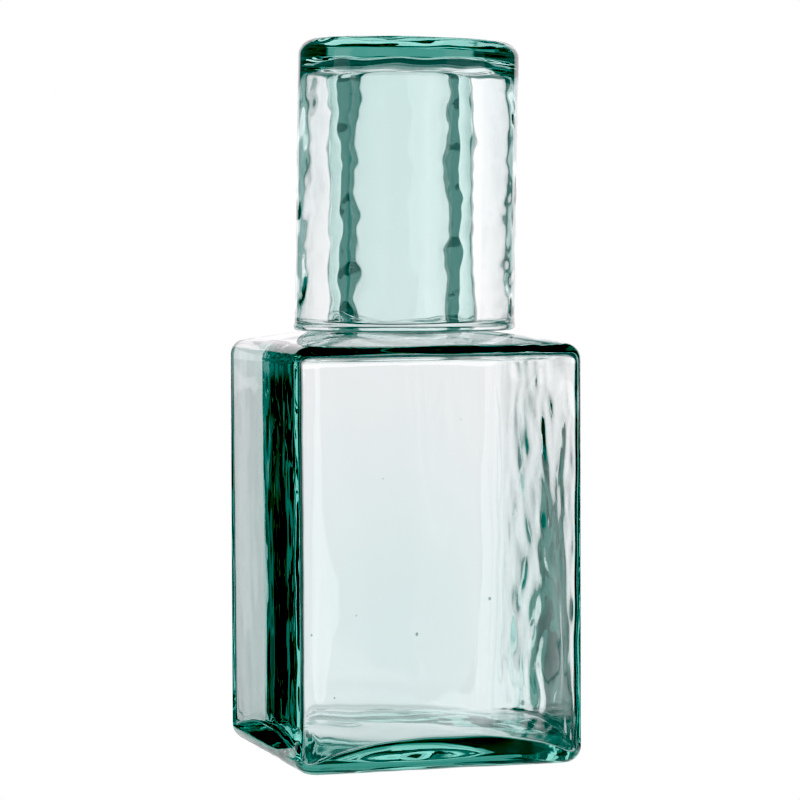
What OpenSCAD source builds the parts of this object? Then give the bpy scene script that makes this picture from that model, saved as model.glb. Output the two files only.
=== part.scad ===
// Bedside carafe with tumbler: a square bottle with a round neck, and a drinking glass that stands
// upside down over the neck as its lid. Both are heavy hand-blown glass, in millimetres, +Z up.
// The origin is the middle of the base, on the surface that the bottle stands on.

/* [Body] */
// Side of the square body, outside
body_w = 100; // [85:1:130]
// Height of the body at the edges of its shoulder
body_h = 140.5; // [110:0.5:200]
// Outside radius of the four upright corners
corner_r = 8; // [6:0.5:12]
// Outside radius of the edges at the base
heel_r = 5.5; // [3:0.5:6]
// Outside radius of the edges of the shoulder
shoulder_r = 5.5; // [3:0.5:6]
// Rise of the shoulder from its edges to the foot of the neck
shoulder_rise = 6.5; // [3:0.5:9]

/* [Glass of the body] */
// Thickness of the walls next to the upright corners, where the glass is stretched thinnest
corner_wall = 4; // [3:0.25:6]
// Extra thickness at the middle of each wall, where the inside swells inwards
face_swell = 4; // [1:0.5:6]
// Thickness of the shoulder at its crown
shoulder_wall = 5; // [3:0.5:8]
// Thickness of the base under the corners of the inside
floor_wall = 3.5; // [3:0.25:6]
// Rise of the inside floor from its corners to its middle
floor_swell = 12; // [6:0.5:16]
// Radius of the inside edges
inside_r = 5.5; // [3:0.5:8]
// Width of the push-up in the underside
punt_d = 62; // [40:1:74]
// Depth of the push-up in the underside
punt_depth = 5; // [2:0.5:6]

/* [Neck] */
// Outside diameter of the neck
neck_d = 50.5; // [44:0.5:56]
// Thickness of the neck's wall
neck_wall = 8.25; // [6:0.25:12]
// Height of the neck above the crown of the shoulder
neck_h = 87.5; // [60:0.5:110]
// Radius of the fire-polished lip, outside and inside
lip_r = 2.9; // [1.5:0.1:2.9]
// Radius of the fillet where the neck meets the shoulder
neck_fillet = 3; // [1.5:0.5:4]
// Radius of the throat, where the inside runs up into the neck
throat_r = 5; // [2:0.5:8]

/* [Tumbler] */
// Thickness of the tumbler's wall at its rim
tumbler_rim_wall = 2.2; // [1.8:0.1:2.6]
// Thickness of the tumbler's wall next to its base
tumbler_wall = 4; // [2.8:0.1:4.5]
// Thickness of the tumbler's base at its middle
tumbler_base = 5.25; // [4:0.25:6]
// Outside radius round the tumbler's base
tumbler_heel_r = 5.5; // [3:0.5:7]
// Radius between the tumbler's wall and its inside floor
tumbler_inside_r = 7; // [3:0.5:10]
// Radius of the bead round the tumbler's rim
rim_r = 1.5; // [1.4:0.1:2]
// Width of the hollow in the tumbler's base
tumbler_punt_d = 48; // [30:1:54]
// Depth of the hollow in the tumbler's base
tumbler_punt_depth = 1.2; // [0.5:0.1:2]

/* [Fit] */
// Space all round between the neck and the tumbler's wall next to its base
neck_gap = 8.6; // [4:0.2:11]
// Space between the neck's lip and the inside of the tumbler's base
roof_gap = 3.5; // [2:0.1:12]
// Clearance between the tumbler's rim and the shoulder that it stands on
seat_gap = 0.3; // [0.1:0.1:0.5]

/* [Hidden] */
$fn = 192;
// How far cutting shapes run past the faces that they cut
overrun = 2;

// Radius of an arc from its half span and its rise
function arc_radius(half_span, rise) = (half_span * half_span + rise * rise) / (2 * rise);
// Height on an arc of a given radius and crown, at a distance from its middle
function arc_height(radius, crown, off) = crown - radius + sqrt(radius * radius - off * off);

// The shoulder outside
crown_z = body_h + shoulder_rise;
shoulder_arc = arc_radius(body_w / 2, shoulder_rise);

// The inside of the body, before its walls and floor swell
inside_w = body_w - 2 * corner_wall;
inside_top = body_h - shoulder_wall;
inside_rise = shoulder_rise;
inside_crown = inside_top + inside_rise;
inside_arc = arc_radius(inside_w / 2, inside_rise);
wall_arc = arc_radius(inside_w / 2, face_swell);
// The floor is part of a ball that passes through the corners of the inside
floor_ball = arc_radius(inside_w / sqrt(2), floor_swell);
punt_ball = arc_radius(punt_d / 2, punt_depth);

// The neck
neck_top = crown_z + neck_h;
bore_r = neck_d / 2 - neck_wall;
throat_z = arc_height(inside_arc, inside_crown, bore_r + throat_r);

// The tumbler goes over the neck and stands on the shoulder's four hips, under the middle of its rim
tumbler_d = neck_d + 2 * (neck_gap + tumbler_wall);
rim_mid = tumbler_d / 2 - tumbler_rim_wall / 2;
hip_z = arc_height(shoulder_arc, crown_z, rim_mid / sqrt(2));
seat_z = hip_z + seat_gap;
tumbler_h = neck_top + roof_gap + tumbler_base + tumbler_punt_depth - seat_z;
tumbler_punt_ball = arc_radius(tumbler_punt_d / 2, tumbler_punt_depth);
tumbler_roof = tumbler_h - tumbler_base - tumbler_punt_depth;

// A square with round corners, about the origin
module rounded_square(width, radius) {
    flat = width - 2 * radius;
    square([width, flat], center = true);
    square([flat, width], center = true);
    for (x = [-1, 1], y = [-1, 1])
        translate([x * flat / 2, y * flat / 2]) circle(radius);
}

// The side view of a block: flat below, arched above, with all its corners round
module arched_side(width, height, rise, top_radius, foot_radius) {
    arc = arc_radius(width / 2, rise);
    arc_z = height + rise - arc;
    top_x = width / 2 - top_radius;
    foot_x = width / 2 - foot_radius;
    // Centre of a corner circle that touches both the side and the arch
    top_z = arc_z + sqrt(pow(arc - top_radius, 2) - top_x * top_x);
    // Where that circle touches the arch
    touch_x = top_x * arc / (arc - top_radius);
    touch_z = arc_z + (top_z - arc_z) * arc / (arc - top_radius);
    above = height + rise + overrun;
    intersection() {
        translate([0, arc_z]) circle(arc);
        polygon([
            [-foot_x, 0], [foot_x, 0], [width / 2, foot_radius], [width / 2, top_z],
            [touch_x, touch_z], [touch_x, above], [-touch_x, above], [-touch_x, touch_z],
            [-width / 2, top_z], [-width / 2, foot_radius]
        ]);
    }
    for (x = [-1, 1]) {
        translate([x * top_x, top_z]) circle(top_radius);
        translate([x * foot_x, foot_radius]) circle(foot_radius);
    }
}

// A block on z = 0 with a four-sided crowned top and all its edges round
module crowned_block(width, height, rise, upright_radius, top_radius, foot_radius) {
    intersection() {
        linear_extrude(height + rise + overrun) rounded_square(width, upright_radius);
        intersection_for (turn = [0, 90])
            rotate([90, 0, turn])
                linear_extrude(width + overrun, center = true)
                    arched_side(width, height, rise, top_radius, foot_radius);
    }
}

// The space inside the body: each wall and the floor swell into it
module inside_space() {
    difference() {
        translate([0, 0, floor_wall])
            crowned_block(inside_w, inside_top - floor_wall, inside_rise, inside_r, inside_r, inside_r);
        for (turn = [0 : 90 : 270])
            rotate([0, 0, turn])
                translate([inside_w / 2 - face_swell + wall_arc, 0, -overrun])
                    cylinder(r = wall_arc, h = inside_crown + 2 * overrun);
        translate([0, 0, floor_wall + floor_swell - floor_ball]) sphere(floor_ball);
    }
}

// What is cut out of the neck: the bore, flared at the lip and at the throat
module bore_space() {
    flare_r = bore_r + lip_r;
    rotate_extrude() {
        translate([0, throat_z - overrun]) square([bore_r, neck_top - throat_z + 2 * overrun]);
        difference() {
            translate([0, neck_top - lip_r]) square([flare_r, lip_r + overrun]);
            translate([flare_r, neck_top - lip_r]) circle(lip_r);
        }
        difference() {
            translate([0, throat_z - overrun]) square([bore_r + throat_r, throat_r + overrun]);
            translate([bore_r + throat_r, throat_z + throat_r]) circle(throat_r);
        }
    }
}

// The neck as a solid post, with its lip and its foot rounded
module neck_post() {
    neck_r = neck_d / 2;
    foot_z = arc_height(shoulder_arc, crown_z, neck_r + neck_fillet);
    rotate_extrude() {
        translate([0, inside_crown]) square([neck_r, neck_top - lip_r - inside_crown]);
        translate([0, neck_top - 2 * lip_r]) square([neck_r - lip_r, 2 * lip_r]);
        translate([neck_r - lip_r, neck_top - lip_r]) circle(lip_r);
        difference() {
            translate([0, inside_crown])
                square([neck_r + neck_fillet, foot_z + neck_fillet - inside_crown]);
            translate([neck_r + neck_fillet, foot_z + neck_fillet]) circle(neck_fillet);
        }
    }
}

// The bottle: body, shoulder and neck in one piece of glass
module carafe() {
    color("mediumaquamarine", 0.5)
    difference() {
        union() {
            crowned_block(body_w, body_h, shoulder_rise, corner_r, shoulder_r, heel_r);
            neck_post();
        }
        inside_space();
        bore_space();
        translate([0, 0, punt_depth - punt_ball]) sphere(punt_ball);
    }
}

// Half of the tumbler's section, upside down, with its rim on z = 0
module tumbler_section() {
    outer_r = tumbler_d / 2;
    mouth_r = outer_r - tumbler_rim_wall;
    inner_r = outer_r - tumbler_wall;
    wall_top = tumbler_roof - tumbler_inside_r;
    difference() {
        union() {
            translate([0, rim_r]) square([outer_r, tumbler_h - tumbler_heel_r - rim_r]);
            translate([0, rim_r]) square([outer_r - tumbler_heel_r, tumbler_h - rim_r]);
            translate([outer_r - tumbler_heel_r, tumbler_h - tumbler_heel_r]) circle(tumbler_heel_r);
        }
        polygon([
            [0, rim_r - overrun], [mouth_r, rim_r - overrun], [mouth_r, rim_r], [inner_r, wall_top],
            [inner_r - tumbler_inside_r, wall_top], [inner_r - tumbler_inside_r, tumbler_roof],
            [0, tumbler_roof]
        ]);
        translate([inner_r - tumbler_inside_r, wall_top]) circle(tumbler_inside_r);
    }
    translate([rim_mid, rim_r]) circle(rim_r);
}

// The drinking glass, standing on its rim over the neck
module tumbler() {
    color("paleturquoise", 0.5)
    translate([0, 0, seat_z])
        difference() {
            rotate_extrude() tumbler_section();
            translate([0, 0, tumbler_h - tumbler_punt_depth + tumbler_punt_ball])
                sphere(tumbler_punt_ball);
        }
}

carafe();
tumbler();
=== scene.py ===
"""Bedside carafe with tumbler: heavy hand-blown glass, green in its thick edges, rippled inside.

The bottle and the drinking glass replace the two solids of the frame. Each is one closed mesh of glass
with its outside and its wavy inside. The bottle's front wall holds small air bubbles, called seeds.
"""

import logging
import math
from collections.abc import Callable
from dataclasses import dataclass, field
from enum import Enum

import bmesh
import bpy
from mathutils import Matrix, Vector, noise


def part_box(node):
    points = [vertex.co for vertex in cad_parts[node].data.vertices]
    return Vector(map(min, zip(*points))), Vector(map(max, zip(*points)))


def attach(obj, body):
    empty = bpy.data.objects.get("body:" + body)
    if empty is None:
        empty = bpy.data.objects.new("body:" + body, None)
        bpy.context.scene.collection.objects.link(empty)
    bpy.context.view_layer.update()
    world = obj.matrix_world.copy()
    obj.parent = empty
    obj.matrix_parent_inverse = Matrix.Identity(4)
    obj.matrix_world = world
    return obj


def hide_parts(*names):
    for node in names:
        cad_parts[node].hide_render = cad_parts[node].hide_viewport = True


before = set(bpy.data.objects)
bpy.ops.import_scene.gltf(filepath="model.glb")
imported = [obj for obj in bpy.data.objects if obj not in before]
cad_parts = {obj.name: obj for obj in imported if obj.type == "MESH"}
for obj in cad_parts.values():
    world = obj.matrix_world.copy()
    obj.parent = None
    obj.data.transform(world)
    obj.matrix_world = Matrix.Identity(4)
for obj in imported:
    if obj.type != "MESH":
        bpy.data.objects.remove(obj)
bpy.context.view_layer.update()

# Short names for the types that are used most
Mesh = bmesh.types.BMesh
Socket = bpy.types.NodeSocket
Ring = list[Vector]
Colour = tuple[float, float, float, float]

# The photograph is this many pixels across, and its focal length in pixels was fitted to the outline
PHOTO_WIDTH = 800
PHOTO_FOCAL = 3493
SENSOR_MM = 36.0
# Light below this, in red, green and blue, is printed black
BLACK_POINT = (0.07, 0.03, 0.04)
# Turn of the camera about the carafe, away from square to its front side
VIEW_TURN = math.radians(16.54)
# How many turns light may take in the glass, and in mirrored light
GLASS_BOUNCES = 32
GLOSSY_BOUNCES = 16
# Vertices closer than this are one, in metres
MERGE_DISTANCE = 1e-6
WHITE: Colour = (1.0, 1.0, 1.0, 1.0)
# Numbers of the Mix node's first input to mix and of its output, for values and for colours
MIX_SOCKETS = {"FLOAT": (2, 0), "RGBA": (6, 2)}
# Scales of the streaks and of the flecks against that of the waves, and the height of the flecks
STREAK_SCALE = 0.35
FLECK_SCALE = 2.2
FLECK_HEIGHT = 0.4

log = logging.getLogger("carafe")


class Skin(Enum):
    """The side of the glass that a ring of vertices lies on."""

    OUTSIDE = 0
    INSIDE = 1


class LightPart(Enum):
    """A part of the studio that a card lights: the walls, or the floor with its painted reflection seen
    from low down or its painted light seen from higher up.
    """

    WALL = "wall"
    LOW_FLOOR = "low"
    HIGH_FLOOR = "high"


# Vertex layers: the side of the glass, and the strength of the fine waves in its skin
SKIN_LAYER = "skin"
FINE_LAYER = "fine"


@dataclass(frozen=True)
class Ripple:
    """Waves in a skin of blown glass.

    Args:
        depth: Height of the waves, in metres.
        across: Length of a wave across the piece, in metres.
        along: Length of a wave up the piece, in metres.
        offset: Place in the noise, so that no two skins have the same waves.
    """

    depth: float
    across: float
    along: float
    offset: float

    def at(self, place: Vector) -> float:
        """How far the waves move a point of the skin along its normal."""
        sample = Vector((place.x / self.across, place.y / self.across, place.z / self.along))
        return self.depth * noise.noise(sample + Vector((self.offset, -self.offset, self.offset)))


def mix(first: float, second: float, share: float) -> float:
    """The value a share of the way from first to second."""
    return first + (second - first) * share


def ease(share: float) -> float:
    """A share from 0 to 1, eased at both ends."""
    held = min(1.0, max(0.0, share))
    return held * held * (3 - 2 * held)


def cap_radius(half_span: float, rise: float) -> float:
    """Radius of an arc from its half span and its rise."""
    return (half_span * half_span + rise * rise) / (2 * rise)


def crowned(place: Vector, half: float, crown: float, rise: float, softness: float) -> float:
    """Height of a four-sided roof, arched each way, at a place in plan.

    Args:
        place: The place.
        half: Half of the roof's width.
        crown: Height of its crown.
        rise: Rise of its arches.
        softness: Difference of its two arches over which its hips are rounded.

    Returns:
        The height.
    """
    arc = cap_radius(half, rise)
    one, other = (crown - arc + math.sqrt(arc * arc - along * along) for along in (place.x, place.y))
    share = max(0.0, 1.0 - abs(one - other) / softness)
    return min(one, other) - share * share * softness / 4


def shares(count: int, first: int = 1) -> list[float]:
    """Even steps from 0 to 1, from the first that is asked for, so a first of 0 includes the start."""
    return [step / count for step in range(first, count + 1)]


def quarter(count: int) -> list[float]:
    """Angles in even steps to a quarter turn."""
    return [share * math.pi / 2 for share in shares(count)]


@dataclass(frozen=True)
class Wall:
    """How the inside of one wall swells inwards between its two upright corners.

    Args:
        high: Swell of its thickest part at the shoulder, in metres.
        low: The same near the floor.
        peak: Place of the thickest part, from -1 at the front or left corner to 1 at the other.
        rise: Power of the curve before the thickest part: near 1 is a wedge, more is a flatter middle.
        fall: Power of the curve beyond it.
        keep: Share of the swell that is left at the corner beyond it.
        haste: Power of the climb from low to high: less than 1 thins the wall nearer the floor.
    """

    high: float
    low: float
    peak: float = 0.0
    rise: float = 4.0
    fall: float = 4.0
    keep: float = 0.0
    haste: float = 1.0

    def swell(self, along: float, climb: float) -> float:
        """The swell at a place.

        Args:
            along: Place along the wall, from -1 to 1.
            climb: Place up the wall, from 0 for the low shape to 1 for the high one.

        Returns:
            How far the inside lies inwards of the line between the corners.
        """
        if along < self.peak:
            drop = ((self.peak - along) / (1 + self.peak)) ** self.rise
        else:
            drop = (1 - self.keep) * ((along - self.peak) / (1 - self.peak)) ** self.fall
        return mix(self.low, self.high, climb**self.haste) * max(0.0, 1 - drop)


@dataclass(frozen=True)
class Walls:
    """The four walls of the body, as the inside sees them."""

    right: Wall
    back: Wall
    left: Wall
    front: Wall


class Plan:
    """Where the vertices of a ring go, seen from above, for round and for square rings."""

    def __init__(self, flat_steps: int, corner_steps: int) -> None:
        """Sets how a ring is divided.

        Args:
            flat_steps: Edges along each flat side of a square ring.
            corner_steps: Edges round each corner of a square ring.
        """
        self.flat_steps = flat_steps
        self.corner_steps = corner_steps
        self.count = 4 * (flat_steps + corner_steps)
        self.turns = [Matrix.Rotation(side * math.pi / 2, 3, "Z") for side in range(4)]
        angles = [math.tau * (index - flat_steps / 2) / self.count for index in range(self.count)]
        self.rays = [Vector((math.cos(angle), math.sin(angle), 0)) for angle in angles]

    def circle(self, radius: float) -> Ring:
        """A round ring at height zero, from the start of the +X side."""
        return [ray * radius for ray in self.rays]

    def square(self, half: float, corner: float, walls: Walls | None = None, climb: float = 0.0) -> Ring:
        """A square ring with round corners, from the start of the +X side.

        Args:
            half: Half of the ring's width at its corners.
            corner: Radius of the corners.
            walls: The walls that swell inwards between the corners, if they do.
            climb: Place up the walls, from 0 to 1.

        Returns:
            Its vertices, at height zero.
        """
        reach = half - corner
        side = [Vector((half, mix(-reach, reach, share), 0)) for share in shares(self.flat_steps, first=0)]
        for step in range(1, self.corner_steps):
            angle = math.pi / 2 * step / self.corner_steps
            side.append(Vector((reach + corner * math.cos(angle), reach + corner * math.sin(angle), 0)))
        ring = [turn @ place for turn in self.turns for place in side]
        if walls:
            for place in ring:
                across, along = place.x / half, place.y / half
                sideways = walls.right if across > 0 else walls.left
                lengthways = walls.back if along > 0 else walls.front
                place.x -= sideways.swell(along, climb) * across
                place.y -= lengthways.swell(across, climb) * along
        return ring


def between(first: Ring, second: Ring, share: float) -> Ring:
    """The ring a share of the way from first to second."""
    return [one.lerp(other, share) for one, other in zip(first, second)]


def lifted(ring: Ring, height: float | Callable[[Vector], float]) -> Ring:
    """Lifts a ring.

    Args:
        ring: The ring's vertices.
        height: How far to lift it, or what gives that from each vertex.

    Returns:
        The lifted ring.
    """
    if callable(height):
        return [place + Vector((0, 0, height(place))) for place in ring]
    return [place + Vector((0, 0, height)) for place in ring]


class Loft:
    """A skin of glass made of rings: a chain is spun into a tube, whose rings then take their shapes."""

    def __init__(self) -> None:
        """Starts with no rings."""
        self.rings: list[Ring] = []
        self.sides: list[Skin] = []

    def grow(self, ring: Ring, side: Skin) -> None:
        """Adds a ring, which lies on one side of the glass."""
        self.rings.append(ring)
        self.sides.append(side)

    def close(self) -> Mesh:
        """Spins the tube, shapes its rings, merges its poles and turns its faces outwards.

        Returns:
            The mesh, whose skin layer says which side each vertex lies on.
        """
        mesh = new_glass()
        skin = mesh.verts.layers.float[SKIN_LAYER]
        draw_chain(mesh, [Vector((1, 0, level)) for level in range(len(self.rings))])
        count = len(self.rings[0])
        spin_round(mesh, count)
        for vert in mesh.verts:
            level = round(vert.co.z)
            step = round(math.atan2(vert.co.y, vert.co.x) / math.tau * count) % count
            vert.co = self.rings[level][step]
            vert[skin] = float(self.sides[level].value)
        seal(mesh)
        return mesh


def new_glass() -> Mesh:
    """Starts a mesh of glass, with its vertex layers."""
    mesh = bmesh.new()
    for name in (SKIN_LAYER, FINE_LAYER):
        mesh.verts.layers.float.new(name)
    return mesh


def draw_chain(mesh: Mesh, places: Ring) -> list[bmesh.types.BMVert]:
    """Draws a chain of edges.

    Args:
        mesh: The mesh to draw in.
        places: The places that the chain goes through.

    Returns:
        Its vertices, in order.
    """
    chain = [mesh.verts.new(places[0])]
    for place in places[1:]:
        chain += bmesh.ops.extrude_vert_indiv(mesh, verts=chain[-1:])["verts"]
        chain[-1].co = place
    return chain


def spin_round(mesh: Mesh, steps: int) -> None:
    """Spins a mesh's chain once round the vertical axis."""
    chain = mesh.verts[:] + mesh.edges[:]
    bmesh.ops.spin(mesh, geom=chain, axis=(0, 0, 1), angle=math.tau, steps=steps, use_merge=True)


def seal(mesh: Mesh) -> None:
    """Merges the vertices at the poles and turns the faces outwards."""
    bmesh.ops.remove_doubles(mesh, verts=mesh.verts, dist=MERGE_DISTANCE)
    bmesh.ops.recalc_face_normals(mesh, faces=mesh.faces)


def wave(mesh: Mesh, ripple: Callable[[Vector, bool], float]) -> None:
    """Moves every vertex along its normal.

    Args:
        mesh: The mesh to shape.
        ripple: Gives the distance for a place, and for whether it lies on the outside.
    """
    mesh.normal_update()
    skin = mesh.verts.layers.float[SKIN_LAYER]
    moves = [vert.normal * ripple(vert.co, vert[skin] == Skin.OUTSIDE.value) for vert in mesh.verts]
    for vert, move in zip(mesh.verts, moves):
        vert.co += move


def to_object(mesh: Mesh, name: str, material: bpy.types.Material) -> bpy.types.Object:
    """Makes a smooth-shaded object of a mesh.

    Args:
        mesh: The mesh, which is freed.
        name: The piece's name.
        material: Its finish.

    Returns:
        The linked object.
    """
    data = bpy.data.meshes.new(name)
    mesh.to_mesh(data)
    mesh.free()
    data.polygons.foreach_set("use_smooth", [True] * len(data.polygons))
    data.materials.append(material)
    piece = bpy.data.objects.new(name, data)
    bpy.context.scene.collection.objects.link(piece)
    log.info("%s: %d faces", name, len(data.polygons))
    return piece


class Nodes:
    """A short way to add and join shader nodes."""

    def __init__(self, tree: bpy.types.NodeTree) -> None:
        """Works on one node tree."""
        self.tree = tree

    def add(self, kind: str, settings: dict[str, object] | None = None, **values: object) -> bpy.types.Node:
        """Adds a node.

        Args:
            kind: The node's type, without its ShaderNode prefix.
            settings: Properties of the node.
            **values: Inputs by name, with _ for a space: a socket to join, or a value.

        Returns:
            The node.
        """
        node = self.tree.nodes.new(kind if kind.startswith("Node") else "ShaderNode" + kind)
        for key, value in (settings or {}).items():
            setattr(node, key, value)
        for key, value in values.items():
            self.put(node, key.replace("_", " "), value)
        return node

    def put(self, node: bpy.types.Node, key: str | int, value: object) -> None:
        """Joins or sets one input.

        Args:
            node: The node that has the input.
            key: The input's name or number.
            value: A socket to join, or a value.
        """
        if isinstance(value, Socket):
            self.tree.links.new(value, node.inputs[key])
        else:
            node.inputs[key].default_value = value

    def work_out(self, kind: str, operation: str, *values: object) -> bpy.types.Node:
        """Adds a Math or VectorMath node.

        Args:
            kind: Which of the two.
            operation: What it does, as Blender names it.
            *values: Its inputs in order, each a socket to join or a value.

        Returns:
            The node.
        """
        node = self.add(kind, {"operation": operation})
        for key, value in enumerate(values):
            self.put(node, key, value)
        return node

    def joined(self, operation: str, *values: Socket | float) -> Socket:
        """The result of arithmetic on two or three values."""
        return self.work_out("Math", operation, *values).outputs[0]

    def ramp(
        self, value: Socket, start: float, end: float,
        low: float = 0.0, high: float = 1.0, shape: str = "SMOOTHSTEP",
    ) -> Socket:
        """A result that goes from low to high as a value goes from start to end."""
        ends = {"From_Min": start, "From_Max": end, "To_Min": low, "To_Max": high}
        return self.add("MapRange", {"interpolation_type": shape}, Value=value, **ends).outputs[0]

    def mixed(self, share: Socket, first: object, second: object, kind: str = "FLOAT") -> Socket:
        """Mixes two values or two colours.

        Args:
            share: The second one's share.
            first: The first, a socket or its value.
            second: The second.
            kind: FLOAT for values and RGBA for colours.

        Returns:
            The mix.
        """
        start, result = MIX_SOCKETS[kind]
        node = self.add("Mix", {"data_type": kind})
        for key, value in ((0, share), (start, first), (start + 1, second)):
            self.put(node, key, value)
        return node.outputs[result]


def cleared(owner: bpy.types.Material | bpy.types.World) -> Nodes:
    """Gives a material or a world an empty node tree, and returns what adds nodes to it."""
    owner.use_nodes = True
    owner.node_tree.nodes.clear()
    return Nodes(owner.node_tree)


def ripple_group() -> bpy.types.NodeTree:
    """Builds the small waves and streaks of blown glass, which every glass here uses.

    Returns:
        A group with Scale, Stretch, Seed and Fine, the strength of its finest waves, in, and Height and
        Streak out.
    """
    group = bpy.data.node_groups.new("blown_glass_waves", "ShaderNodeTree")
    for name in ("Scale", "Stretch", "Seed", "Fine"):
        group.interface.new_socket(name, in_out="INPUT", socket_type="NodeSocketFloat")
    for name in ("Height", "Streak"):
        group.interface.new_socket(name, in_out="OUTPUT", socket_type="NodeSocketFloat")
    make = Nodes(group)
    given = make.add("NodeGroupInput").outputs
    sink = make.add("NodeGroupOutput")
    place = make.add("TexCoord").outputs["Object"]
    squash = make.add("CombineXYZ", X=1.0, Y=1.0, Z=given["Stretch"]).outputs[0]
    shift = make.add("CombineXYZ", X=given["Seed"], Y=given["Seed"]).outputs[0]
    stretched = make.work_out("VectorMath", "MULTIPLY_ADD", place, squash, shift).outputs[0]

    def noise_of(scale: Socket, **shape: float) -> Socket:
        """Adds a noise on the stretched place."""
        return make.add("TexNoise", Vector=stretched, Scale=scale, **shape).outputs["Fac"]

    scale = given["Scale"]
    waves = noise_of(scale, Detail=2.0, Roughness=0.45)
    streaks = noise_of(make.joined("MULTIPLY", scale, STREAK_SCALE), Detail=3.0, Distortion=1.2)
    flecks = noise_of(make.joined("MULTIPLY", scale, FLECK_SCALE), Detail=1.0, Distortion=0.6)
    share = make.joined("MULTIPLY", given["Fine"], FLECK_HEIGHT)
    make.put(sink, "Height", make.joined("MULTIPLY_ADD", flecks, share, waves))
    make.put(sink, "Streak", streaks)
    return group


@dataclass(frozen=True)
class GlassFinish:
    """Clear glass with a green tint that deepens with the length of glass that light goes through.

    Args:
        name: The material's name.
        seed: Place in the noise.
        tint: Colour that the glass keeps, for the volume inside it.
        density: Strength of the tint, per metre.
        index: Refractive index.
        wave_scale: Fineness of the small waves in the skin.
        wave_stretch: Length of the waves upwards, less than 1 for tall ones.
        wave_depth: Height of the small waves, in metres.
        cords: Where in the streaks the faint cords start and end.
        cord_colour: Colour of the cords.
        clouds: Where in the streaks the haze starts and ends.
        haze: Roughness of the haze.
    """

    name: str
    seed: float
    tint: Colour = (0.0, 0.71, 0.6, 1.0)
    density: float = 14.0
    index: float = 1.52
    wave_scale: float = 90.0
    wave_stretch: float = 0.4
    wave_depth: float = 0.00004
    cords: tuple[float, float] = (0.35, 0.65)
    cord_colour: Colour = (0.993, 0.998, 0.997, 1.0)
    clouds: tuple[float, float] = (0.4, 0.75)
    haze: float = 0.015

    def build(self, waves: bpy.types.NodeTree) -> bpy.types.Material:
        """Builds the material.

        Args:
            waves: The group of waves and streaks.

        Returns:
            The material.
        """
        material = bpy.data.materials.new(self.name)
        make = cleared(material)
        blown = make.add(
            "Group",
            {"node_tree": waves},
            Scale=self.wave_scale,
            Stretch=self.wave_stretch,
            Seed=self.seed,
            Fine=make.add("Attribute", {"attribute_name": FINE_LAYER}).outputs["Fac"],
        ).outputs
        bump = make.add("Bump", Height=blown["Height"], Strength=1.0, Distance=self.wave_depth)
        cords = make.ramp(blown["Streak"], *self.cords, shape="LINEAR")
        shader = make.add(
            "BsdfPrincipled",
            Base_Color=make.mixed(cords, WHITE, self.cord_colour, "RGBA"),
            Roughness=make.ramp(blown["Streak"], *self.clouds, high=self.haze, shape="LINEAR"),
            IOR=self.index,
            Transmission_Weight=1.0,
            Normal=bump.outputs[0],
        )
        volume = make.add("VolumeAbsorption", Color=self.tint, Density=self.density)
        make.add("OutputMaterial", Surface=shader.outputs[0], Volume=volume.outputs[0])
        return material


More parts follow.
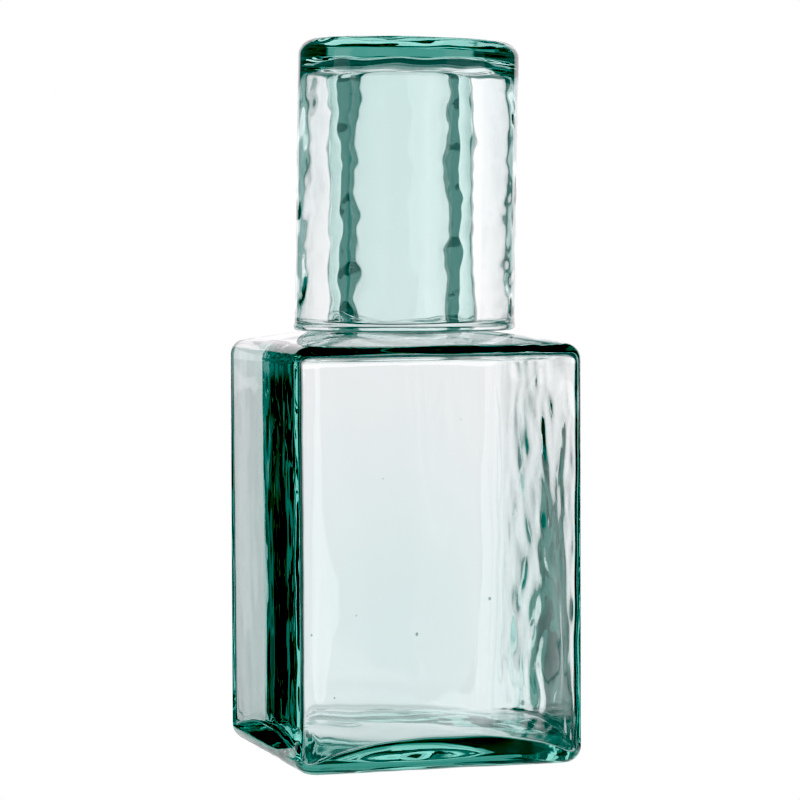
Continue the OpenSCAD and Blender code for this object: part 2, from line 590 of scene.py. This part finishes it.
@dataclass
class Carafe:
    """The square bottle with its round neck, in one piece of glass.

    Args:
        width: Side of the body.
        top: Height of the neck's lip.
        plan: How its rings are divided.
    """

    width: float
    top: float
    plan: Plan = field(default_factory=lambda: Plan(flat_steps=62, corner_steps=12))
    edge_height: float = 0.1405
    shoulder_rise: float = 0.0065
    corner: float = 0.008
    heel: float = 0.0055
    edge: float = 0.0055
    neck_radius: float = 0.02525
    neck_wall: float = 0.00825
    neck_fillet: float = 0.003
    lip: float = 0.003
    throat: float = 0.005
    punt_radius: float = 0.031
    punt_depth: float = 0.005
    wall_low: float = 0.0032
    wall_high: float = 0.0022
    walls: Walls = Walls(
        right=Wall(high=0.0003, low=0.003, peak=0.4, rise=1.05, fall=1.2, keep=0.75, haste=0.8),
        back=Wall(high=0.0006, low=0.0055),
        left=Wall(high=0.0039, low=0.0039, peak=0.06, rise=1.2, fall=1.2, keep=0.65),
        front=Wall(high=0.0006, low=0.0055, fall=6.0),
    )
    thin_above: float = 0.15
    thick_below: float = 0.03
    shoulder_wall: float = 0.003
    inside_corner: float = 0.005
    inside_edge: float = 0.0025
    floor_edge: float = 0.0015
    floor_wall: float = 0.0017
    floor_swell: float = 0.0075
    floor_crown: float = 0.0018
    hip_softness: float = 0.0012
    outer_ripple: Ripple = Ripple(depth=0.00012, across=0.03, along=0.05, offset=3.1)
    under_ripple: Ripple = Ripple(depth=0.0009, across=0.014, along=0.014, offset=7.7)
    inner_ripple: Ripple = Ripple(depth=0.00008, across=0.008, along=0.018, offset=11.7)
    side_ripple: Ripple = Ripple(depth=0.00034, across=0.012, along=0.017, offset=17.7)
    side_flutter: Ripple = Ripple(depth=0.00028, across=0.0065, along=0.01, offset=19.3)
    inner_sway: Ripple = Ripple(depth=0.0003, across=0.03, along=0.05, offset=23.4)
    neck_ripple: Ripple = Ripple(depth=0.0003, across=0.012, along=0.009, offset=33.3)
    neck_flutter: Ripple = Ripple(depth=0.00012, across=0.006, along=0.0035, offset=35.5)
    # Strength of the fine waves outside, where the inside is calm, and in the neck
    fine_outside: float = 0.1
    fine_calm: float = 0.2
    fine_neck: float = 0.4
    # Where the side walls grow calm towards the back, and how softly that starts and the walls' waves end
    calm_left: float = -0.002
    calm_right: float = 0.022
    calm_blend: float = 0.01
    side_band: float = 0.014
    side_blend: float = 0.008
    # The left wall's share of the waves of the side walls
    left_share: float = 0.35
    # Where the waves of the underside end, as a share of the heel
    under_edge: float = 0.2
    # Numbers of rings
    punt_rings: int = 10
    stand_rings: int = 4
    edge_rings: int = 8
    side_rings: int = 14
    shoulder_rings: int = 14
    neck_rings: int = 30
    lip_rings: int = 16
    bore_rings: int = 66
    small_edge_rings: int = 6
    wall_rings: int = 90
    floor_rings: int = 20
    # Places of the seeds across and up the front wall, with their radii
    seeds: tuple[tuple[float, float, float], ...] = (
        (-0.0304, 0.0530, 0.00022),
        (-0.0096, 0.0460, 0.00045),
        (0.0158, 0.0570, 0.00042),
        (-0.0455, 0.0470, 0.00025),
        (-0.0210, 0.0980, 0.00020),
        (0.0060, 0.1170, 0.00018),
        (0.0240, 0.0850, 0.00022),
        (-0.0380, 0.0260, 0.00024),
        (0.0310, 0.0330, 0.00030),
    )
    seed_depth: float = 0.0016
    seed_stretch: float = 1.3

    def __post_init__(self) -> None:
        """Works out the sizes that several parts share."""
        self.half = self.width / 2
        self.crown = self.edge_height + self.shoulder_rise
        self.inside_half = self.half - self.wall_high
        self.inside_crown = self.crown - self.shoulder_wall
        self.bore = self.neck_radius - self.neck_wall
        self.throat_height = self.inside_roof(Vector((self.bore + self.throat, 0, 0)))

    def build(self, finish: bpy.types.Material) -> bpy.types.Object:
        """Models the bottle.

        Args:
            finish: Its glass.

        Returns:
            The finished piece.
        """
        loft = Loft()
        self.grow_underside(loft)
        self.grow_outside(loft)
        self.grow_neck(loft)
        self.grow_inside_top(loft)
        self.grow_inside_walls(loft)
        mesh = loft.close()
        skin = mesh.verts.layers.float[SKIN_LAYER]
        fine = mesh.verts.layers.float[FINE_LAYER]
        for vert in mesh.verts:
            vert[fine] = self.fineness(vert.co, vert[skin] == Skin.OUTSIDE.value)
        wave(mesh, self.ripple)
        self.add_seeds(mesh)
        return to_object(mesh, "carafe_glass", finish)

    def fineness(self, place: Vector, outside: bool) -> float:
        """Strength of the fine waves in the skin.

        Args:
            place: A point on the skin.
            outside: Whether it lies on the outside.

        Returns:
            The strength: 1 on the near part of the side walls, less where the skin is calm.
        """
        if outside:
            return self.fine_outside
        beside = ease((abs(place.x) - self.inside_half + self.side_band) / self.side_blend)
        calm_from = self.calm_right if place.x > 0 else self.calm_left
        near = 1 - ease((place.y - calm_from) / self.calm_blend)
        in_neck = ease((place.z - self.crown) / self.throat)
        return mix(mix(self.fine_calm, 1.0, beside * near), self.fine_neck, in_neck)

    def add_seeds(self, mesh: Mesh) -> None:
        """Adds the small air bubbles in the front wall, with their faces towards the air."""
        for across, height, radius in self.seeds:
            centre = Matrix.Translation((across, self.seed_depth - self.half, height))
            shape = centre @ Matrix.Diagonal((radius, radius, radius * self.seed_stretch, 1))
            ball = bmesh.ops.create_icosphere(mesh, subdivisions=2, radius=1.0, matrix=shape)
            faces = {face for vert in ball["verts"] for face in vert.link_faces}
            bmesh.ops.reverse_faces(mesh, faces=list(faces))

    def ripple(self, place: Vector, outside: bool) -> float:
        """Waves of the skin.

        Args:
            place: A point on the skin.
            outside: Whether it lies on the outside.

        Returns:
            How far to move the point outwards of the glass, never downwards where the bottle stands.
        """
        if outside:
            reach = math.hypot(place.x, place.y)
            climb = place.z / self.heel
            hollow = ease(2 - reach / self.punt_radius) * (1 - ease(climb - self.under_edge))
            swell = ease(climb) * self.outer_ripple.at(place)
            return swell - hollow * abs(self.under_ripple.at(place))
        in_neck = ease((place.z - self.crown) / self.throat)
        side = self.side_ripple.at(place) + self.side_flutter.at(place)
        share = 1.0 if place.x > 0 else self.left_share
        strength = share * (self.fineness(place, outside) - self.fine_calm)
        body = self.inner_ripple.at(place) + self.inner_sway.at(place) + strength * side
        on_floor = 1 - ease((place.z - self.dome(place)) / self.inside_corner)
        floor = on_floor * self.under_ripple.at(place) / 2
        neck = self.neck_ripple.at(place) + self.neck_flutter.at(place)
        return mix(body + floor, neck, in_neck)

    def roof(self, place: Vector) -> float:
        """Height of the shoulder's outside at a place in plan."""
        return crowned(place, self.half, self.crown, self.shoulder_rise, self.hip_softness)

    def inside_roof(self, place: Vector) -> float:
        """Height of the shoulder's inside at a place in plan."""
        return crowned(place, self.inside_half, self.inside_crown, self.shoulder_rise, self.hip_softness)

    def inside_ring(self, height: float, corner: float, inset: float) -> Ring:
        """A level ring of the inside.

        Args:
            height: Its height, which sets how thick the walls are there.
            corner: Radius of its corners.
            inset: How far it lies inwards of the walls.

        Returns:
            Its vertices, at height zero.
        """
        climb = ease((height - self.thick_below) / (self.thin_above - self.thick_below))
        half = self.half - mix(self.wall_low, self.wall_high, climb) - inset
        return self.plan.square(half, corner, self.walls, climb)

    def grow_underside(self, loft: Loft) -> None:
        """Grows the push-up, the flat ring that the bottle stands on, and the heel."""
        ball = cap_radius(self.punt_radius, self.punt_depth)
        for share in shares(self.punt_rings, first=0):
            radius = self.punt_radius * share
            height = self.punt_depth - ball + math.sqrt(ball * ball - radius * radius)
            loft.grow(lifted(self.plan.circle(radius), height), Skin.OUTSIDE)
        punt = self.plan.circle(self.punt_radius)
        stand = self.plan.square(self.half - self.heel, self.corner - self.heel)
        for share in shares(self.stand_rings):
            loft.grow(between(punt, stand, share), Skin.OUTSIDE)
        self.grow_round_edge(loft, self.heel, 0.0, math.pi / 2, self.heel)

    def grow_round_edge(self, loft: Loft, radius: float, start: float, end: float, level: float) -> None:
        """Grows a rounded edge of the body, from one angle to another.

        Args:
            loft: The skin.
            radius: Radius of the edge.
            start: First angle, 0 facing down and a quarter turn facing sideways.
            end: Last angle.
            level: Height of the edge's centre.
        """
        for share in shares(self.edge_rings):
            angle = mix(start, end, share)
            inset = radius * (1 - math.sin(angle))
            ring = self.plan.square(self.half - inset, self.corner - inset)
            loft.grow(lifted(ring, level - radius * math.cos(angle)), Skin.OUTSIDE)

    def grow_outside(self, loft: Loft) -> None:
        """Grows the body's sides and its shoulder."""
        arc = cap_radius(self.half, self.shoulder_rise)
        level = self.crown - arc + math.sqrt((arc - self.edge) ** 2 - (self.half - self.edge) ** 2)
        tilt = math.asin((self.half - self.edge) / (arc - self.edge))
        side = self.plan.square(self.half, self.corner)
        for share in shares(self.side_rings):
            loft.grow(lifted(side, mix(self.heel, level, share)), Skin.OUTSIDE)
        self.grow_round_edge(loft, self.edge, math.pi / 2, math.pi - tilt, level)
        inset = self.edge * (1 - math.sin(tilt))
        brow = self.plan.square(self.half - inset, self.corner - inset)
        foot = self.plan.circle(self.neck_radius + self.neck_fillet)
        for share in shares(self.shoulder_rings):
            loft.grow(lifted(between(brow, foot, share), self.roof), Skin.OUTSIDE)

    def grow_neck(self, loft: Loft) -> None:
        """Grows the neck's fillet, its outside, its fire-polished lip and its bore."""
        foot = lifted(self.plan.circle(self.neck_radius + self.neck_fillet), self.roof)
        for angle in quarter(self.small_edge_rings):
            radius = self.neck_radius + self.neck_fillet * (1 - math.sin(angle))
            climb = self.neck_fillet * (1 - math.cos(angle))
            ring = self.plan.circle(radius)
            loft.grow([Vector((at.x, at.y, low.z + climb)) for at, low in zip(ring, foot)], Skin.OUTSIDE)
        outside = self.plan.circle(self.neck_radius)
        shoulder = self.top - self.lip
        for share in shares(self.neck_rings):
            loft.grow(lifted(outside, mix(self.crown + self.neck_fillet, shoulder, share)), Skin.OUTSIDE)
        for share in shares(self.lip_rings):
            angle = share * math.pi
            radius = self.neck_radius - self.neck_wall / 2 * (1 - math.cos(angle))
            side = Skin.OUTSIDE if angle < math.pi / 2 else Skin.INSIDE
            loft.grow(lifted(self.plan.circle(radius), shoulder + self.lip * math.sin(angle)), side)
        bore = self.plan.circle(self.bore)
        for share in shares(self.bore_rings):
            loft.grow(lifted(bore, mix(shoulder, self.throat_height + self.throat, share)), Skin.INSIDE)

    def grow_inside_top(self, loft: Loft) -> None:
        """Grows the throat and the inside of the shoulder, to the start of its rounded edge."""
        for angle in quarter(self.small_edge_rings):
            ring = self.plan.circle(self.bore + self.throat * (1 - math.cos(angle)))
            loft.grow(lifted(ring, self.throat_height + self.throat * (1 - math.sin(angle))), Skin.INSIDE)
        mouth = self.plan.circle(self.bore + self.throat)
        brow = self.inside_ring(self.edge_height, self.inside_corner - self.inside_edge, self.inside_edge)
        for share in shares(self.shoulder_rings):
            loft.grow(lifted(between(mouth, brow, share), self.inside_roof), Skin.INSIDE)

    def grow_inside_walls(self, loft: Loft) -> None:
        """Grows the inside of the walls, with a rounded edge at the top and at the foot, and the floor."""
        top = self.inside_roof(Vector((self.inside_half - self.inside_edge, 0, 0))) - self.inside_edge
        for angle in quarter(self.small_edge_rings):
            inset = self.inside_edge * (1 - math.sin(angle))
            level = top + self.inside_edge * math.cos(angle)
            ring = self.inside_ring(level, self.inside_corner - inset, inset)
            loft.grow(lifted(ring, level), Skin.INSIDE)
        for share in shares(self.wall_rings):
            ring = self.inside_ring(mix(top, self.floor_wall, share), self.inside_corner, 0.0)
            foot = [self.dome(place) + self.floor_edge for place in ring]
            wall = [Vector((at.x, at.y, mix(top, low, share))) for at, low in zip(ring, foot)]
            loft.grow(wall, Skin.INSIDE)
        for angle in quarter(self.small_edge_rings):
            inset = self.floor_edge * (1 - math.cos(angle))
            ring = self.inside_ring(self.floor_wall, self.inside_corner - inset, inset)
            rise = self.floor_edge * (1 - math.sin(angle))
            loft.grow([Vector((at.x, at.y, self.dome(at) + rise)) for at in ring], Skin.INSIDE)
        centre = [Vector()] * self.plan.count
        for share in shares(self.floor_rings):
            loft.grow(lifted(between(ring, centre, share), self.dome), Skin.INSIDE)

    def dome(self, place: Vector) -> float:
        """Height of the inside floor at a place in plan: low in the corners, with a broad flat crown."""
        across = (place.x / self.inside_half) ** 2
        along = (place.y / self.inside_half) ** 2
        crown = self.floor_crown * (1 - (across + along) / 2)
        return self.floor_wall + self.floor_swell * (1 - across * along) + crown


@dataclass
class Tumbler:
    """The drinking glass, upside down over the neck.

    Args:
        rim_height: Height of its rim, where it stands on the shoulder.
        top: Height of its base.
    """

    rim_height: float
    top: float
    radius: float = 0.03785
    rim_wall: float = 0.0022
    wall: float = 0.004
    base: float = 0.00525
    punt_depth: float = 0.0012
    punt_radius: float = 0.024
    heel: float = 0.0055
    inside_heel: float = 0.007
    bead: float = 0.0015
    shift: float = 0.0011
    lean: float = 0.0201
    tilt: float = 0.0253
    # How far above the rim the waves reach their full height
    rim_fade: float = 0.006
    # Numbers of faces round it, and of rings
    steps: int = 256
    punt_rings: int = 14
    stand_rings: int = 5
    heel_rings: int = 10
    side_rings: int = 50
    rim_rings: int = 16
    inner_rings: int = 80
    roof_rings: int = 14
    outer_ripple: Ripple = Ripple(depth=0.0002, across=0.02, along=0.05, offset=41.3)
    inner_ripple: Ripple = Ripple(depth=0.0003, across=0.011, along=0.012, offset=52.9)
    inner_flutter: Ripple = Ripple(depth=0.00012, across=0.006, along=0.004, offset=55.1)
    base_ripple: Ripple = Ripple(depth=0.0008, across=0.013, along=0.02, offset=63.9)
    fine_outside: float = 0.15
    fine_inside: float = 0.35

    def __post_init__(self) -> None:
        """Works out the height of the inside of its base."""
        self.roof = self.top - self.punt_depth - self.base

    def build(self, finish: bpy.types.Material) -> bpy.types.Object:
        """Models the tumbler.

        Args:
            finish: Its glass.

        Returns:
            The finished piece.
        """
        mesh = new_glass()
        skin = mesh.verts.layers.float[SKIN_LAYER]
        fine = mesh.verts.layers.float[FINE_LAYER]
        section = self.section()
        chain = draw_chain(mesh, [place for place, _ in section])
        for vert, (_, side) in zip(chain, section):
            vert[skin] = float(side.value)
            vert[fine] = self.fine_outside if side is Skin.OUTSIDE else self.fine_inside
        spin_round(mesh, self.steps)
        seal(mesh)
        wave(mesh, self.ripple)
        right = Vector((math.cos(VIEW_TURN), -math.sin(VIEW_TURN), 0))
        for vert in mesh.verts:
            rise = vert.co.z - self.rim_height
            sink = self.tilt * right.dot(vert.co) * (rise / (self.top - self.rim_height)) ** 2
            vert.co += right * (self.shift + self.lean * rise) - Vector((0, 0, sink))
        return to_object(mesh, "tumbler_glass", finish)

    def ripple(self, place: Vector, outside: bool) -> float:
        """Waves of the skin, which fade at the rim that the tumbler stands on.

        Args:
            place: A point on the skin.
            outside: Whether it lies on the outside.

        Returns:
            How far to move the point outwards of the glass.
        """
        seated = ease((place.z - self.rim_height) / self.rim_fade)
        if outside:
            return seated * self.outer_ripple.at(place)
        on_roof = ease((place.z - self.roof) / self.inside_heel + 1)
        walls = self.inner_ripple.at(place) + self.inner_flutter.at(place)
        return seated * (walls + on_roof * self.base_ripple.at(place))

    def section(self) -> list[tuple[Vector, Skin]]:
        """Half of the tumbler's section, from the middle of its base round the rim to the inside.

        Returns:
            The points in order, each with its side of the glass.
        """
        points: list[tuple[Vector, Skin]] = []

        def put(radius: float, height: float, side: Skin = Skin.OUTSIDE) -> None:
            """Adds a point."""
            points.append((Vector((radius, 0, height)), side))

        ball = cap_radius(self.punt_radius, self.punt_depth)
        for share in shares(self.punt_rings, first=0):
            radius = self.punt_radius * share
            put(radius, self.top - self.punt_depth + ball - math.sqrt(ball * ball - radius * radius))
        for share in shares(self.stand_rings):
            put(mix(self.punt_radius, self.radius - self.heel, share), self.top)
        for angle in quarter(self.heel_rings):
            aside, down = 1 - math.sin(angle), 1 - math.cos(angle)
            put(self.radius - self.heel * aside, self.top - self.heel * down)
        middle = self.radius - self.rim_wall / 2
        spread = math.asin(self.rim_wall / 2 / self.bead)
        neck_height = self.rim_height + self.bead * (1 + math.cos(spread))
        for share in shares(self.side_rings):
            put(self.radius, mix(self.top - self.heel, neck_height, share))
        for share in shares(self.rim_rings):
            angle = mix(spread, math.tau - spread, share)
            side = Skin.OUTSIDE if share < 0.5 else Skin.INSIDE
            height = self.rim_height + self.bead * (1 + math.cos(angle))
            put(middle + self.bead * math.sin(angle), height, side)
        mouth = self.radius - self.rim_wall
        inner = self.radius - self.wall
        for share in shares(self.inner_rings):
            height = mix(neck_height, self.roof - self.inside_heel, share)
            put(mix(mouth, inner, share), height, Skin.INSIDE)
        for angle in quarter(self.heel_rings):
            aside, up = 1 - math.cos(angle), 1 - math.sin(angle)
            put(inner - self.inside_heel * aside, self.roof - self.inside_heel * up, Skin.INSIDE)
        for share in shares(self.roof_rings):
            put(mix(inner - self.inside_heel, 0, share), self.roof, Skin.INSIDE)
        return points


@dataclass(frozen=True)
class Card:
    """A white card in the studio, as the glass sees it: a part of the walls, and its painted light and
    painted reflection on the floor before it.

    Args:
        start: Direction of its first edge from the front, in degrees, anticlockwise from above.
        end: Direction of its last edge.
        wall: Brightness of its part of the walls.
        low: Brightness of its painted reflection in the floor before it, as seen from low down.
        high: Brightness of its painted light on the floor before it, as seen from higher up.
        behind: The fewest and the most surfaces of glass that it shows behind, if there are such limits.
    """

    start: float
    end: float
    wall: float
    low: float
    high: float
    behind: tuple[float, float] | None = None


@dataclass
class Studio:
    """The plain pale floor, the soft light and the camera at the photograph's viewing angle.

    Glass shows what lies behind it and to its sides, so pale cards stand round it, and the sides between
    them are dark, which draws the dark outlines of the thick edges. The floor glows plain white where the
    camera sees it; to the glass it shows a painted shadow round the base and the cards' painted light from
    above, and from low down a painted reflection of the cards and the dark sides. Light is dimmed where it
    crosses only solid glass or turns in it many times, and is green where it is dim.
    """

    cards: tuple[Card, ...] = (
        Card(start=160.0, end=187.0, wall=1.12, low=0.96, high=0.96),
        Card(start=130.0, end=160.0, wall=1.19, low=1.04, high=1.04),
        Card(start=191.0, end=201.0, wall=0.9, low=0.9, high=0.9, behind=(3.0, 6.0)),
        Card(start=261.0, end=279.0, wall=1.0, low=1.0, high=1.0),
        Card(start=300.0, end=390.0, wall=0.4, low=0.4, high=0.4),
        Card(start=203.0, end=247.0, wall=0.0, low=0.0, high=1.0),
        Card(start=23.0, end=67.0, wall=0.85, low=0.85, high=1.0),
    )
    # How far a card's light fades beyond its edges, in degrees
    card_edge: float = 3.0
    dim_floor: float = 0.03
    dim_wall: float = 0.18
    horizon: float = -0.035
    skirting: float = 0.02
    # Colours of bright and of dim light, and the brightness from which light is bright
    hue: Colour = (1.07, 1.0, 1.03, 1.0)
    dim_hue: Colour = (0.75, 1.27, 1.21, 1.0)
    dim_end: float = 0.65
    ceiling: float = 0.14
    ceiling_start: float = 0.3
    ceiling_end: float = 0.47
    floor_sides: int = 96
    floor_radius: float = 1.6
    floor_drop: float = 0.0002
    # Angles of view above the floor, in degrees, between which its painted reflection of the cards fades
    painted_reflection_low: float = 10.5
    painted_reflection_high: float = 14.5
    # Brightness of the floor under the base and at the edge of its painted shadow, as the glass sees it
    painted_shadow_under: float = 0.7
    painted_shadow_near: float = 0.95
    # Shares of the light that are left in solid glass and after many turns, by the surfaces crossed
    solid_light: float = 0.35
    solid_end: float = 3.0
    deep_light: float = 0.16
    deep_start: float = 8.2
    deep_end: float = 10.5
    # Where the painted shadow round the base starts to fade, where it ends and the painted card light
    # starts, and where that light has taken over
    painted_shadow_radius: float = 0.045
    near_start: float = 0.08
    near_end: float = 0.17
    camera_distance: float = 1.202
    camera_height: float = 0.18226
    camera_aside: float = -0.0005
    pitch: float = 0.0507
    roll: float = -0.0042
    clip_start: float = 0.05

    def build(self) -> None:
        """Makes the floor, the world and the camera."""
        self.add_floor()
        self.add_world()
        self.add_camera()

    def card_light(self, make: Nodes, direction: Socket, part: LightPart) -> Socket:
        """Adds the nodes that give the light of the cards in a direction.

        Args:
            make: The nodes to add to.
            direction: The direction or place, from the middle of the base.
            part: The part of the studio that the light comes from.

        Returns:
            The brightness.
        """
        split = make.add("SeparateXYZ", Vector=direction).outputs
        level = make.add("CombineXYZ", X=split[0], Y=split[1]).outputs[0]
        flat = make.work_out("VectorMath", "NORMALIZE", level).outputs[0]
        dim_wall = self.dim_wall if part is LightPart.WALL else self.dim_floor
        foot, skirting = self.horizon - self.skirting / 2, self.horizon + self.skirting / 2
        light = make.ramp(split[2], foot, skirting, self.dim_floor, dim_wall)
        for card in self.cards:
            strength = getattr(card, part.value)
            if not strength:
                continue
            turn = math.radians((card.start + card.end) / 2)
            aim = make.work_out("VectorMath", "DOT_PRODUCT", flat, (math.sin(turn), -math.cos(turn), 0.0))
            half = (card.end - card.start) / 2
            outer, inner = (math.cos(math.radians(angle)) for angle in (half + self.card_edge, half))
            lit = make.ramp(aim.outputs["Value"], outer, inner, 0.0, strength)
            if card.behind:
                fewest, most = card.behind
                for start, low in ((fewest - 1, 0.0), (most, 1.0)):
                    shown = make.ramp(self.surfaces(make, part), start, start + 1, low, 1 - low)
                    lit = make.joined("MULTIPLY", lit, shown)
            light = make.joined("MAXIMUM", light, lit)
        return light

    def surfaces(self, make: Nodes, part: LightPart) -> Socket:
        """Counts the surfaces of glass before the studio: the ray depth is one too high for the walls."""
        depth = make.add("LightPath").outputs["Ray Depth"]
        return make.joined("SUBTRACT", depth, 1.0 if part is LightPart.WALL else 0.0)

    def shine(self, make: Nodes, kind: str, light: Socket, part: LightPart) -> Socket:
        """Adds the shader of the floor or of the walls, which is plain white where the camera sees it.

        The glass sees less light in solid edges and bases, and after many turns in the glass.

        Args:
            make: The nodes to add to.
            kind: The shader's type.
            light: The light, before it is dimmed and turned green where it is dim.
            part: The part of the studio that has the shader.

        Returns:
            The shader.
        """
        count = self.surfaces(make, part)
        deep = make.ramp(count, self.deep_start, self.deep_end, 1.0, self.deep_light)
        outside = make.ramp(count, 1.0, 2.0, 1.0, 0.0)
        solid = make.ramp(count, self.solid_end, self.solid_end + 1, self.solid_light, 1.0)
        share = make.joined("MULTIPLY", deep, make.joined("MAXIMUM", outside, solid))
        dimmed = make.joined("MULTIPLY", light, share)
        bright = make.ramp(dimmed, self.dim_wall, self.dim_end)
        hue = make.mixed(bright, self.dim_hue, self.hue, "RGBA")
        seen = make.add("LightPath").outputs["Is Camera Ray"]
        colour = make.mixed(seen, hue, WHITE, "RGBA")
        return make.add(kind, Color=colour, Strength=make.mixed(seen, dimmed, 1.0)).outputs[0]

    def add_floor(self) -> None:
        """Makes a large round glowing floor just under the base: white to the camera, painted shadow, light
        and reflection to the glass.
        """
        mesh = bmesh.new()
        bmesh.ops.create_circle(mesh, cap_ends=True, segments=self.floor_sides, radius=self.floor_radius)
        bmesh.ops.translate(mesh, verts=mesh.verts, vec=(0, 0, -self.floor_drop))
        material = bpy.data.materials.new("pale_floor")
        make = cleared(material)
        place = make.add("TexCoord").outputs["Object"]
        # Painted reflection of the cards and the dark sides in the floor, as seen from low down
        painted_reflection_light = self.card_light(make, place, LightPart.LOW_FLOOR)
        # Painted light of the cards on the floor, as seen from higher up
        painted_card_light = self.card_light(make, place, LightPart.HIGH_FLOOR)
        reach = make.work_out("VectorMath", "LENGTH", place).outputs["Value"]
        # Painted shadow on the floor round the base, as the glass sees it
        painted_shadow_near = make.ramp(reach, self.painted_shadow_radius, self.near_start, self.painted_shadow_under, self.painted_shadow_near)
        far = make.ramp(reach, self.near_start, self.near_end)
        # From above: the painted shadow near the base, then the painted card light further out
        painted_floor_from_above = make.mixed(far, painted_shadow_near, painted_card_light)
        # In place of gloss, the painted light from above fades to the painted reflection at low angles
        facing = make.add("LayerWeight", Blend=0.5).outputs["Facing"]
        steep, flat = (1 - math.sin(math.radians(angle)) for angle in (self.painted_reflection_high, self.painted_reflection_low))
        light = make.mixed(make.ramp(facing, steep, flat), painted_floor_from_above, painted_reflection_light)
        make.add("OutputMaterial", Surface=self.shine(make, "Emission", light, LightPart.LOW_FLOOR))
        floor = to_object(mesh, "floor", material)

    def add_world(self) -> None:
        """Makes the soft studio: white cards and dull green dark sides, under a dim ceiling."""
        world = bpy.data.worlds.new("studio")
        bpy.context.scene.world = world
        make = cleared(world)
        direction = make.add("TexCoord").outputs["Generated"]
        walls = self.card_light(make, direction, LightPart.WALL)
        height = make.add("SeparateXYZ", Vector=direction).outputs[2]
        above = make.ramp(height, self.ceiling_start, self.ceiling_end)
        room = make.mixed(above, walls, self.ceiling)
        make.add("OutputWorld", Surface=self.shine(make, "Background", room, LightPart.WALL))

    def add_camera(self) -> None:
        """Places the camera that the photograph was taken with."""
        data = bpy.data.cameras.new("photo_camera")
        data.sensor_width = SENSOR_MM
        data.lens = PHOTO_FOCAL * SENSOR_MM / PHOTO_WIDTH
        data.clip_start = self.clip_start
        camera = bpy.data.objects.new("photo_camera", data)
        bpy.context.scene.collection.objects.link(camera)
        place = (self.camera_aside, -self.camera_distance, self.camera_height)
        stand = Matrix.Rotation(-VIEW_TURN, 4, "Z") @ Matrix.Translation(place)
        aim = Matrix.Rotation(math.pi / 2 - self.pitch, 4, "X") @ Matrix.Rotation(self.roll, 4, "Z")
        camera.matrix_world = stand @ aim
        bpy.context.scene.camera = camera


def settle_render() -> None:
    """Sets the light paths that thick glass needs and a plain view of the colours."""
    scene = bpy.context.scene
    scene.view_settings.view_transform = "Standard"
    scene.view_settings.use_curve_mapping = True
    scene.view_settings.curve_mapping.black_level = BLACK_POINT
    scene.cycles.max_bounces = GLASS_BOUNCES
    scene.cycles.transmission_bounces = GLASS_BOUNCES
    scene.cycles.glossy_bounces = GLOSSY_BOUNCES


def main() -> None:
    """Builds the carafe, the tumbler and the studio."""
    logging.basicConfig(level=logging.INFO, format="%(message)s")
    carafe_low, carafe_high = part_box("carafe")
    tumbler_low, tumbler_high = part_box("tumbler")
    waves = ripple_group()
    carafe = Carafe(width=carafe_high.x - carafe_low.x, top=carafe_high.z)
    bottle = carafe.build(GlassFinish("carafe_green_glass", seed=0.0).build(waves))
    tumbler = Tumbler(rim_height=tumbler_low.z, top=tumbler_high.z)
    cup = tumbler.build(GlassFinish("tumbler_green_glass", seed=7.0).build(waves))
    for piece, body, slot in ((bottle, "carafe", "carafe_glass"), (cup, "tumbler", "tumbler_glass")):
        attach(piece, body)
        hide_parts(body)
        log.info("%s rides on %s", piece.name, body)
    Studio().build()
    settle_render()


if __name__ == "__main__":
    main()
